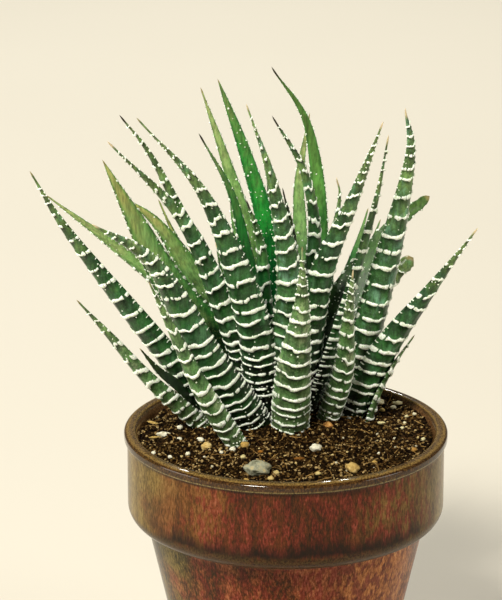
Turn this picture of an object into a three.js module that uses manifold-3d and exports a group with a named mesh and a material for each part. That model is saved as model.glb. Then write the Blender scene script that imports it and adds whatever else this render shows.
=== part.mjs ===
// A zebra haworthia in a small glazed pot. Millimetres, Z up, the pot stands on z = 0 and its axis is Z.
import * as THREE from "three";
import { mergeVertices } from "three/addons/utils/BufferGeometryUtils.js";
import Module from "manifold-3d";

// Pot: a 90 mm pot with a low squarish lip, an upright band and a tapered body.
const rimDiameter = 90;
const potHeight = 80;
const baseDiameter = 54;
const lipHeight = 2.7;
const lipWidth = 4.4;
const lipRounding = 1.1;
const lipSlope = 2.2;
const bandInset = 0.9;
const bandBottom = 53.8;
const bandRounding = 4.9;
const wallThickness = 3.2;
const floorThickness = 6;
const innerDraft = 0.6;
const edgeSoftening = 0.8;
const potSides = 36;
const arcSteps = 4;

// Soil: a low mound round the plant, banked up a little towards the back right of the rim.
const soilBelowRim = 3.2;
const moundHeight = 3.4;
const moundSpread = 15;
const bankHeight = 1.6;
const bankAngle = 50;
const soilRoughness = 0.35;
const soilSides = 30;
const stoneUnevenness = 0.12;
const stoneLift = 0.15;

// The short stem, hidden in the rosette. Its centre stands a little behind the pot's axis.
const stemCentre = new THREE.Vector2(0, 15);
const stemBottom = 66;
const stemTop = 104;
const stemRadiusBottom = 6;
const stemRadiusTop = 2.4;

// Leaf section and bands.
const clearance = 0.3;
const bandRelief = 0.5;
const toothReach = 0.3;
const bandHalfWidth = 0.75;
const bandWaver = 0.5;
const pitchAtFoot = 3.3;
const pitchAlong = 5;
const firstBandAt = { inner: 0.3, middle: 0.2, back: 0.25, outer: 0.15 };
const lastBandAt = 0.81;
const slimLeaf = 9.6;
const thicknessShare = 0.42;
const middleDepth = 0.4;
const taperPower = 1.6;
const footNarrowing = 0.22;
const tipThickness = 0.7;
const tipWidth = 1;
const tipCone = 1.6;

// Each leaf: its name; foot, two points on the way and tip of its middle line; its width; the
// compass direction that its outer side looks to (0 is the front, 90 the right, 180 the back); for
// a withered tip, the share of the width that it keeps; and how much faster than usual it narrows.
// The list runs from the young leaves in the middle to the old ones outside.
const leafRows = [
  ["inner_01", [[1, 16, 102], [2, 18, 114], [2, 18, 129], [-1, 18, 144]], 4, 0],
  ["inner_02", [[-4, 17, 99], [-12, 20, 118], [-19.5, 20, 135], [-27, 20, 149]], 4.5, -20],
  ["inner_03", [[4, 17, 97], [10, 20, 113], [14.8, 19, 138.6], [14, 18, 147]], 4.5, 10],
  ["inner_04", [[-3, 12, 90], [-6, 10, 111], [-7, 8, 130], [-11, 6, 144]], 6.5, -5],
  ["inner_05", [[-4, 15, 90], [-10, 15, 118], [-15, 12, 143], [-24, 9, 162]], 8, -130, 0, 1.3],
  ["inner_06", [[3, 14, 90], [8, 11, 127], [5.3, 8, 150], [-4, 5, 168]], 6, 20],
  ["inner_07", [[-2, 19, 90], [-5, 24, 127], [-11, 27, 150], [-19, 30, 172]], 7.8, -165, 0, 0.8],
  ["inner_08", [[3, 18, 90], [9.4, 26, 126], [6.7, 32.5, 156.6], [-4, 36, 174]], 8, 165, 0, 1.1],
  ["middle_01", [[-5, 17, 91], [-23.2, 24, 122], [-37, 25, 150], [-46.3, 25, 163]], 9.5, -65],
  ["middle_02", [[1, 19, 93], [4, 34, 124], [4, 40, 140], [7, 46, 158]], 6.6, 180],
  ["middle_03", [[-3, 20, 92], [-11.4, 33, 127], [-16.6, 38, 145], [-24, 44, 166]], 7.5, -160],
  ["middle_04", [[-5, 19, 92], [-21, 28, 109], [-30, 31, 123], [-36, 34, 136]], 5, -130],
  ["middle_05", [[-4, 8, 82], [1, -2, 118], [-3.8, -8, 152], [-11, -13, 176]], 11.2, 0, 0, 1.4],
  ["middle_06", [[4, 10, 82], [9, 0, 121], [17.3, -7, 146], [25.5, -14, 171.5]], 10.5, 15, 0, 1.15],
  ["middle_07", [[-6, 8, 81], [-10, -2, 113], [-22, -12, 149.5], [-40, -18, 173.5]], 13, -15, 0, 1.5],
  ["middle_08", [[-6, 17, 86], [-25, 24, 114], [-36, 25, 131], [-45, 25, 139]], 13, -130],
  ["middle_09", [[6, 18, 90], [20, 29, 113], [31, 33, 128.3], [41, 37, 136]], 12.5, 150, 0.28, 1.4],
  ["middle_10", [[-7, 11, 83], [-17.5, 2, 114], [-28.6, -6, 142], [-48, -14, 166]], 10.5, -30, 0, 1.25],
  ["middle_11", [[7, 11, 82], [15, 6, 109], [24, 2, 143.7], [27.5, 0, 164]], 8.5, 75],
  ["middle_12", [[-7, 14, 84], [-30.5, 9, 115], [-42.6, 3, 140.5], [-50, 0, 157]], 14, -142, 0, 0.9],
  ["middle_13", [[-6, 19, 86], [-35, 31, 111], [-50, 35, 122.7], [-68, 38, 136]], 8, -120],
  ["middle_14", [[6, 19, 85], [20, 24, 103], [28, 26, 113], [36.2, 28, 120.5]], 9, 15, 0.45],
  ["back_01", [[-4, 20, 84], [-19, 34, 96], [-27, 43, 112], [-34, 50, 126]], 8, -140],
  ["back_02", [[-2, 21, 84], [-9, 40, 98], [-13, 50, 115], [-16, 58, 131]], 8.5, -165],
  ["back_03", [[2, 21, 84], [6, 42, 99], [8, 53, 117], [9, 60, 133]], 8.5, 170],
  ["back_04", [[4, 20, 84], [17, 38, 98], [23, 48, 112], [28, 55, 124]], 8, 145],
  ["back_05", [[-1, 21, 88], [-3, 33, 106], [-4, 42, 122], [-5, 48, 138]], 7, 180],
  ["back_06", [[-5, 19, 86], [-16, 29, 103], [-24, 36, 119], [-30, 40, 134]], 7.5, -130],
  ["back_07", [[5, 19, 86], [14, 31, 102], [20, 40, 117], [24, 46, 130]], 7.5, 140],
  ["outer_01", [[1, 1, 75], [2, -7, 99], [4, -13, 119], [4, -18, 138]], 12.5, 0, 0, 1.25],
  ["outer_02", [[13, 12, 77], [24.4, 8, 111], [33.4, 3.5, 154], [32, 2, 171]], 11.3, 20, 0, 0.9],
  ["outer_03", [[-7, 5, 75], [-22, -7, 102], [-36, -16, 132], [-52, -24, 146]], 13.2, -20],
  ["outer_04", [[11, 9, 75], [16, 2, 95], [17, -4, 112], [18, -10, 129]], 7.8, 15],
  ["outer_05", [[17, 14, 75], [28, 7, 100], [39.2, 2, 118.3], [52, -4, 139]], 12.3, 35, 0, 1.3],
  ["outer_06", [[-16, 13, 75], [-34.4, 9, 99], [-59.3, 4.5, 134], [-70, 3, 153]], 10.8, -45],
  ["outer_07", [[-21, 8, 75], [-37, -1, 93], [-48.8, -7, 109.4], [-57, -12, 121]], 7.5, -40],
  ["outer_08", [[-12, -7, 74], [-22, -14, 93], [-29, -19, 110], [-37, -24, 130]], 7.8, -25],
  ["outer_09", [[-22, 14, 76], [-28.6, 8, 87.5], [-35.4, 5, 94.6], [-40.6, 2, 102.4]], 5, -120],
  ["outer_10", [[22.5, 12, 75], [25.7, 10, 86], [29.8, 8, 95], [35.8, 6, 105]], 5, 80],
  ["outer_11", [[-6, 24, 75], [-14, 44, 88], [-22, 57, 99], [-28, 66, 112]], 8, -155],
  ["outer_12", [[2, 25, 75], [5, 47, 87], [8, 61, 97], [10, 72, 108]], 8.5, 170],
  ["outer_13", [[10, 24, 76], [20, 36, 86], [24, 44, 94], [27, 49, 100]], 7, 145],
  ["outer_14", [[-12, 22, 76], [-22, 30, 84], [-28, 36, 91], [-33, 40, 97]], 6.5, -130],
  ["outer_15", [[8, 23, 76], [14, 40, 88], [19, 52, 99], [22, 60, 111]], 7.5, 160],
  ["outer_16", [[-9, 24, 76], [-20, 38, 87], [-28, 48, 97], [-34, 55, 108]], 7.5, -145],
  ["outer_17", [[-1, 27, 75], [-3, 42, 83], [-5, 54, 91], [-6, 62, 100]], 7.5, -175],
  ["outer_18", [[-4, 22, 77], [-10, 30, 92], [-16, 38, 108], [-20, 45, 120]], 10, -155],
  ["outer_19", [[4, 22, 77], [8, 31, 92], [12, 39, 107], [14, 46, 120]], 10, 155],
  ["outer_20", [[0, 23, 77], [0, 34, 90], [0, 44, 104], [1, 51, 118]], 10.5, 180],
];
const leaves = leafRows.map(([name, line, width, faces, blunt = 0, slim = 1]) => {
  return { name, line, width, faces, blunt, slim };
});

// Pieces that lie in the soil: place, length, width, height and turn on the mound.
const stones = [
  { name: "stone_grey", at: [-8, -28], size: [7.5, 6, 4], turn: 15, colour: 0x8d9383 },
  { name: "stone_tan", at: [17.7, -25.5], size: [4.2, 3.4, 3], turn: -30, colour: 0xc39a58 },
  { name: "stone_buff", at: [-22, -10.5], size: [3, 2.8, 2.6], turn: 10, colour: 0xc9a56a },
  { name: "perlite_front", at: [8, -13.5], size: [3.4, 2.6, 2.2], turn: 20, colour: 0xe9e5da },
  { name: "perlite_left", at: [-34, 1], size: [4.2, 1.8, 1.8], turn: -10, colour: 0xe9e5da },
  { name: "perlite_back", at: [27, 23], size: [3, 2.2, 2], turn: 40, colour: 0xddd2ae },
  { name: "bark_chip", at: [11.7, 3.5], size: [3.4, 2.4, 2.2], turn: -50, colour: 0xb0743a },
];

const wasm = await Module();
wasm.setup();
const part = new THREE.Group();

function degrees(angle) {
  return THREE.MathUtils.degToRad(angle);
}

// A closed geometry as a solid that can be cut.
function solidOf(geometry) {
  const loose = geometry.index ? geometry.toNonIndexed() : geometry;
  const bare = new THREE.BufferGeometry();
  bare.setAttribute("position", loose.getAttribute("position"));
  const merged = mergeVertices(bare, 1e-4);
  return new wasm.Manifold(
    new wasm.Mesh({
      numProp: 3,
      vertProperties: merged.attributes.position.array,
      triVerts: new Uint32Array(merged.index.array),
    }),
  );
}

// The largest piece of a solid, without the crumbs that a cut can leave.
function mainBody(solid) {
  return solid.decompose().sort((a, b) => b.volume() - a.volume())[0];
}

function addNode(name, solid, colour, roughness) {
  const cut = solid.getMesh();
  const geometry = new THREE.BufferGeometry();
  geometry.setAttribute("position", new THREE.BufferAttribute(new Float32Array(cut.vertProperties), 3));
  geometry.setIndex(new THREE.BufferAttribute(new Uint32Array(cut.triVerts), 1));
  geometry.computeVertexNormals();
  const material = new THREE.MeshStandardMaterial({ color: colour, roughness, metalness: 0 });
  const mesh = new THREE.Mesh(geometry, material);
  mesh.name = name;
  part.add(mesh);
}

// A turned solid: its profile is a list of radius and height.
function turned(profile, sides) {
  const points = profile.map(([radius, height]) => new THREE.Vector2(radius, height));
  const lathe = new THREE.LatheGeometry(points, sides);
  lathe.rotateX(Math.PI / 2);
  return lathe;
}

// Points on a round stretch of a profile with its own width and height, both ends included.
function arc(centre, width, height, fromAngle, toAngle) {
  return Array.from({ length: arcSteps + 1 }, (_, i) => {
    const angle = degrees(THREE.MathUtils.lerp(fromAngle, toAngle, i / arcSteps));
    return [centre[0] + width * Math.cos(angle), centre[1] + height * Math.sin(angle)];
  });
}

const rimRadius = rimDiameter / 2;
const baseRadius = baseDiameter / 2;
const bandRadius = rimRadius - bandInset;
const shoulderRadius = bandRadius - bandRounding;
const innerRadius = rimRadius - lipWidth;

function makePot() {
  const outside = [
    [0, 0],
    [baseRadius - edgeSoftening, 0],
    [baseRadius, edgeSoftening],
    [shoulderRadius - edgeSoftening / 2, bandBottom - edgeSoftening],
    [shoulderRadius + edgeSoftening / 2, bandBottom],
  ];
  const underBand = arc([shoulderRadius, bandBottom + bandRounding], bandRounding, bandRounding, -70, 0);
  const underLip = [
    [bandRadius, potHeight - lipHeight],
    [rimRadius - edgeSoftening / 2, potHeight - lipHeight],
  ];
  const lipOutside = arc([rimRadius - lipRounding, potHeight - lipRounding], lipRounding, lipRounding, 0, 90);
  const lipInside = arc([innerRadius + lipSlope, potHeight - lipWidth], lipSlope, lipWidth, 90, 160);
  const lip = [...underLip, ...lipOutside, ...lipInside];
  const profile = [...outside, ...underBand, ...lip, ...insideProfile(0)];
  addNode("pot", solidOf(turned(profile, potSides)), 0x7a3a2c, 0.25);
}

// The pot's inside from under the lip down to the floor, drawn in by a gap for the soil that fills it.
function insideProfile(gap) {
  return [
    [innerRadius - gap, potHeight - lipWidth],
    [innerRadius - innerDraft - gap, bandBottom + bandRounding],
    [shoulderRadius - wallThickness - gap, bandBottom],
    [baseRadius - wallThickness - gap, floorThickness + gap],
    [0, floorThickness + gap],
  ];
}

// Height of the soil at a place: mound, bank at the back right and a little roughness.
function soilHeight(x, y) {
  const level = potHeight - soilBelowRim;
  const fromPlant = Math.hypot(x - stemCentre.x, y - stemCentre.y + 6);
  const mound = moundHeight * Math.exp(-((fromPlant / moundSpread) ** 2) / 2);
  const out = (x * Math.sin(degrees(bankAngle)) + y * Math.cos(degrees(bankAngle))) / innerRadius;
  const bank = bankHeight * Math.max(0, out) ** 2;
  const rough = soilRoughness * (Math.sin(1.3 * x + 0.7 * y) + Math.sin(1.1 * y - 0.6 * x + 2));
  return level + mound + bank + rough;
}

function makeSoilBlock() {
  const wall = innerRadius - clearance;
  const ground = potHeight - soilBelowRim;
  const rings = [0.95, 0.86, 0.76, 0.65, 0.53, 0.41, 0.28, 0.14, 0];
  const profile = [
    ...insideProfile(clearance).reverse(),
    [wall, ground],
    ...rings.map((share) => [share * wall, ground]),
  ];
  const block = turned(profile, soilSides);
  const place = block.getAttribute("position");
  for (let i = 0; i < place.count; i++) {
    if (place.getZ(i) > ground - 0.1) place.setZ(i, soilHeight(place.getX(i), place.getY(i)));
  }
  return solidOf(block);
}

// Width of a leaf along its length, as a share of its full width.
function taper(along, leaf) {
  const narrowing = (1 - (1 - leaf.blunt) * along ** taperPower) ** leaf.slim;
  return narrowing * (1 - footNarrowing * (1 - along) ** 6);
}

// How far apart the bands stand at a place on the leaf.
function bandPitch(along) {
  return THREE.MathUtils.lerp(pitchAtFoot, pitchAlong, THREE.MathUtils.smoothstep(along, 0.05, 0.5));
}

// The rings of a leaf: where each stands in mm along the leaf, and how high it is raised. The bands
// start where the leaf comes out of the whorl that it stands in.
function bandedRings(leaf, length) {
  const whorl = leaf.name.split("_")[0];
  const rings = [{ at: 0, raised: 0 }];
  let at = firstBandAt[whorl] * length;
  for (let band = 0; at < lastBandAt * length; band++) {
    rings.push({ at: at - bandHalfWidth, raised: 0, band });
    rings.push({ at, raised: 1, band });
    rings.push({ at: at + bandHalfWidth, raised: 0, band });
    at += bandPitch(at / length);
  }
  rings.push({ at: length - tipCone, raised: 0 });
  return rings;
}

function plainRings(length) {
  const count = 6;
  const step = (length - tipCone) / count;
  return Array.from({ length: count + 1 }, (_, i) => ({ at: i * step, raised: 0 }));
}

// Corners of a leaf's section from edge to edge over its outer side: share of the half width, and
// share of the thickness. A slim leaf is three-sided, a broad one has a rounded back.
const slimSection = [[-1, 0], [0, 1], [1, 0]];
const broadSection = [[-1, 0], [-0.5, 0.9], [0.5, 0.9], [1, 0]];

// A leaf solid. With a margin it is the smooth sleeve round the leaf that its neighbours are cut by.
function leafSolid(leaf, margin) {
  const curve = new THREE.CatmullRomCurve3(
    leaf.line.map((point) => new THREE.Vector3(...point)),
    false,
    "catmullrom",
    0.5,
  );
  const length = curve.getLength();
  const looks = new THREE.Vector3(Math.sin(degrees(leaf.faces)), -Math.cos(degrees(leaf.faces)), 0);
  const section = leaf.width < slimLeaf && !margin ? slimSection : broadSection;
  const rings = margin ? plainRings(length) : bandedRings(leaf, length);
  const grow = margin ? margin + bandRelief : 0;
  const points = [];

  function corner(ring, column) {
    const [across, outward] = section[column];
    const waver = ring.band === undefined ? 0 : bandWaver * Math.sin(4.7 * ring.band + 2.9 * column);
    const along = THREE.MathUtils.clamp((ring.at + waver) / length, 0, 1);
    const tangent = curve.getTangentAt(along);
    const side = new THREE.Vector3().crossVectors(tangent, looks).normalize();
    const outer = new THREE.Vector3().crossVectors(side, tangent).normalize();
    const share = taper(along, leaf);
    const half = Math.max((leaf.width / 2) * share, tipWidth / 2);
    const thick = Math.max(thicknessShare * leaf.width * share, tipThickness);
    const raised = outward > 0 ? bandRelief * ring.raised : 0;
    const tooth = outward > 0 ? 0 : toothReach * ring.raised;
    const a = across * (half + grow) + Math.sign(across) * tooth;
    const inner = outward > 0 ? grow : -margin;
    const b = (outward - middleDepth) * thick + raised + inner;
    return curve.getPointAt(along).addScaledVector(side, a).addScaledVector(outer, b);
  }

  for (const ring of rings) {
    for (let column = 0; column < section.length; column++) points.push(corner(ring, column));
  }
  const start = curve.getPointAt(0).addScaledVector(curve.getTangentAt(0), -margin);
  const end = curve.getPointAt(1).addScaledVector(curve.getTangentAt(1), margin);
  return solidOf(capped(points, section.length, start, end));
}

// Rings of points joined into a closed skin, with a point at each end.
function capped(points, columns, start, end) {
  const rows = points.length / columns;
  const corners = [];
  for (let row = 0; row + 1 < rows; row++) {
    for (let column = 0; column < columns; column++) {
      const here = row * columns + column;
      const next = row * columns + ((column + 1) % columns);
      corners.push(points[here], points[next], points[next + columns]);
      corners.push(points[here], points[next + columns], points[here + columns]);
    }
  }
  for (let column = 0; column < columns; column++) {
    const next = (column + 1) % columns;
    const last = (rows - 1) * columns;
    corners.push(start, points[next], points[column]);
    corners.push(end, points[last + column], points[last + next]);
  }
  return new THREE.BufferGeometry().setFromPoints(corners);
}

function stemSolid(margin) {
  const bottom = stemBottom - margin;
  const top = stemTop + margin;
  const profile = [
    [0, bottom],
    [stemRadiusBottom + margin, bottom],
    [stemRadiusTop + margin, top],
    [0, top],
  ];
  return solidOf(turned(profile, 16)).translate([stemCentre.x, stemCentre.y, 0]);
}

function stoneSolid(stone, margin) {
  const pebble = new THREE.IcosahedronGeometry(0.5, stone.size[0] > 4 ? 1 : 0);
  const place = pebble.getAttribute("position");
  for (let i = 0; i < place.count; i++) {
    const corner = new THREE.Vector3().fromBufferAttribute(place, i);
    const dent = 1 - stoneUnevenness * Math.sin(7 * corner.x + 5 * corner.y + 9 * corner.z);
    place.setXYZ(i, corner.x * dent, corner.y * dent, corner.z * dent);
  }
  pebble.scale(stone.size[0] + 2 * margin, stone.size[1] + 2 * margin, stone.size[2] + 2 * margin);
  pebble.rotateZ(degrees(stone.turn));
  const [x, y] = stone.at;
  pebble.translate(x, y, soilHeight(x, y) + stoneLift * stone.size[2]);
  return solidOf(pebble);
}

// Young leaves stay whole. Each older leaf is cut clear of the sleeves of the younger ones.
function makeLeaves() {
  let taken = stemSolid(clearance);
  for (const leaf of leaves) {
    const whole = leafSolid(leaf, 0);
    const clear = mainBody(whole.subtract(taken));
    addNode("leaf_" + leaf.name, clear, 0x3f7a4a, 0.5);
    taken = taken.add(leafSolid(leaf, clearance));
  }
  return taken;
}

makePot();
addNode("stem", stemSolid(0), 0x5d6b3a, 0.8);
let hollow = makeLeaves();
for (const stone of stones) {
  addNode(stone.name, mainBody(stoneSolid(stone, 0).subtract(hollow)), stone.colour, 0.85);
  hollow = hollow.add(stoneSolid(stone, clearance));
}
addNode("soil", mainBody(makeSoilBlock().subtract(hollow)), 0x2c1f17, 0.95);

export default part;
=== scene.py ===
# A zebra haworthia in a glazed pot: fine leaves, glaze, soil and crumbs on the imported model.
import math
import bmesh
import bpy
import numpy as np
from mathutils import Matrix, Vector, noise


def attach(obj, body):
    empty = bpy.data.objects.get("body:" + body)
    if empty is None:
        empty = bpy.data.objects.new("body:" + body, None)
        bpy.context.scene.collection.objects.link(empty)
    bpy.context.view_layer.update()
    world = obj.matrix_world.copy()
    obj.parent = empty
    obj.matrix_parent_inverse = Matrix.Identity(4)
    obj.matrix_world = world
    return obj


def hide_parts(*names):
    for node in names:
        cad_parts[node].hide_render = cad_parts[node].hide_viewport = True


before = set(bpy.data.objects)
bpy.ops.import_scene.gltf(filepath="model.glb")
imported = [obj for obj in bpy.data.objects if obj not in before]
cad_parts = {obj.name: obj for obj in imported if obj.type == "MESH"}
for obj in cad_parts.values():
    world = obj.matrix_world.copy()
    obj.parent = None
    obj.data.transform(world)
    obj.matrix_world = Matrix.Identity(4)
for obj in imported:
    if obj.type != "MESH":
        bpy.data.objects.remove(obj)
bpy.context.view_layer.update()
mm = 0.001
print("frame loaded,", len(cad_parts), "solids")


# Small tools for objects, meshes and materials.
def newObject(name, data):
    made = bpy.data.objects.new(name, data)
    bpy.context.collection.objects.link(made)
    return made


def rgb(red, green, blue):  # a colour as seen on a screen, 0 to 255
    def linear(value):
        value = value / 255
        return value / 12.92 if value <= 0.04045 else ((value + 0.055) / 1.055) ** 2.4
    return (linear(red), linear(green), linear(blue), 1)


def addPiece(name, points, faces, material):  # points in mm
    mesh = bpy.data.meshes.new(name)
    mesh.from_pydata((np.asarray(points) * mm).tolist(), [], faces)
    mesh.materials.append(material)
    mesh.shade_smooth()
    return newObject(name, mesh)


def addAttribute(piece, name, values):
    layer = piece.data.attributes.new(name, "FLOAT", "POINT")
    layer.data.foreach_set("value", np.asarray(values, dtype=np.float32).ravel())


def finishPiece(piece, slotName, *nodes):
    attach(piece, "root")
    if nodes:
        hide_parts(*nodes)


def newMaterial(name):
    material = bpy.data.materials.new(name)
    material.use_nodes = True
    return material, material.node_tree, material.node_tree.nodes["Principled BSDF"]


def setInputs(tree, node, inputs):
    for key, value in inputs.items():
        if isinstance(value, bpy.types.NodeSocket):
            tree.links.new(value, node.inputs[key])
        else:
            node.inputs[key].default_value = value


def addNode(tree, kind, inputs, **settings):
    node = tree.nodes.new(kind)
    for key, value in settings.items():
        setattr(node, key, value)
    setInputs(tree, node, inputs)
    return node


def objectPoint(tree, stretch):
    place = addNode(tree, "ShaderNodeTexCoord", {}).outputs["Object"]
    return addNode(tree, "ShaderNodeMapping", {"Vector": place, "Scale": stretch}).outputs["Vector"]


def grain(tree, scale, detail=2, rough=0.5, upright=1):  # scale per metre; below 1 it is drawn out upward
    point = objectPoint(tree, (1, 1, upright))
    inputs = {"Vector": point, "Scale": scale, "Detail": detail, "Roughness": rough}
    return addNode(tree, "ShaderNodeTexNoise", inputs).outputs["Fac"]


def readAttribute(tree, name):
    return addNode(tree, "ShaderNodeAttribute", {}, attribute_name=name).outputs["Fac"]


def spread(tree, value, low, high, toLow=0.0, toHigh=1.0):  # a value stretched to a new range, clamped
    inputs = {"Value": value, "From Min": low, "From Max": high, "To Min": toLow, "To Max": toHigh}
    return addNode(tree, "ShaderNodeMapRange", inputs, interpolation_type="SMOOTHSTEP").outputs["Result"]


def mixed(tree, factor, *colours):  # sockets, or colours as seen on a screen
    first, second = (rgb(*colour) if isinstance(colour, (tuple, list)) else colour for colour in colours)
    return addNode(tree, "ShaderNodeMix", {0: factor, 6: first, 7: second}, data_type="RGBA").outputs[2]


def toned(tree, colour, value):  # a colour made darker or lighter
    return addNode(tree, "ShaderNodeHueSaturation", {"Color": colour, "Value": value}).outputs["Color"]


def combined(tree, how, first, second):
    return addNode(tree, "ShaderNodeMath", {0: first, 1: second}, operation=how).outputs[0]


def both(tree, first, second):
    return combined(tree, "MULTIPLY", first, second)


def swayed(tree, value, by, pattern, low=0.3, high=0.7):  # a value made uneven by so much each way
    return combined(tree, "ADD", value, spread(tree, pattern, low, high, -by, by))


def colourRamp(tree, factor, stops):
    node = addNode(tree, "ShaderNodeValToRGB", {"Fac": factor})
    ramp = node.color_ramp
    while len(ramp.elements) < len(stops):
        ramp.elements.new(0.5)
    for element, (position, colour) in zip(ramp.elements, stops):
        element.position = position
        element.color = rgb(*colour)
    return node.outputs["Color"]


def addBump(tree, height, depth, strength=1.0, under=None):  # depth in mm
    inputs = {"Height": height, "Distance": depth * mm, "Strength": strength}
    if under is not None:
        inputs["Normal"] = under
    return addNode(tree, "ShaderNodeBump", inputs).outputs["Normal"]


def tubeFaces(rows, columns):  # a closed skin of rings, then the two end points
    faces = []
    for r in range(rows - 1):
        for c in range(columns):
            here, right = r * columns + c, r * columns + (c + 1) % columns
            faces.append((here, right, right + columns, here + columns))
    start, lastRow = rows * columns, (rows - 1) * columns
    for c in range(columns):
        right = (c + 1) % columns
        faces.append((start, right, c))
        faces.append((start + 1, lastRow + c, lastRow + right))
    return faces


# Camera: the photograph's view, low and a little above the rim.
viewOf = {"target": (-9.7, 0, 117), "elevation": 18, "distance": 900, "lens": 196.56}


def addCamera(settings):
    tilt = math.radians(settings["elevation"])
    away = settings["distance"]
    x, y, z = settings["target"]
    cameraData = bpy.data.cameras.new("camera")
    cameraData.lens = settings["lens"]
    cameraData.sensor_width = 36
    cameraData.clip_start = 0.05
    cameraData.clip_end = 50
    cameraObject = newObject("camera", cameraData)
    cameraObject.location = (x * mm, (y - away * math.cos(tilt)) * mm, (z + away * math.sin(tilt)) * mm)
    cameraObject.rotation_euler = (math.radians(90) - tilt, 0, 0)
    bpy.context.scene.camera = cameraObject


addCamera(viewOf)


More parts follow.
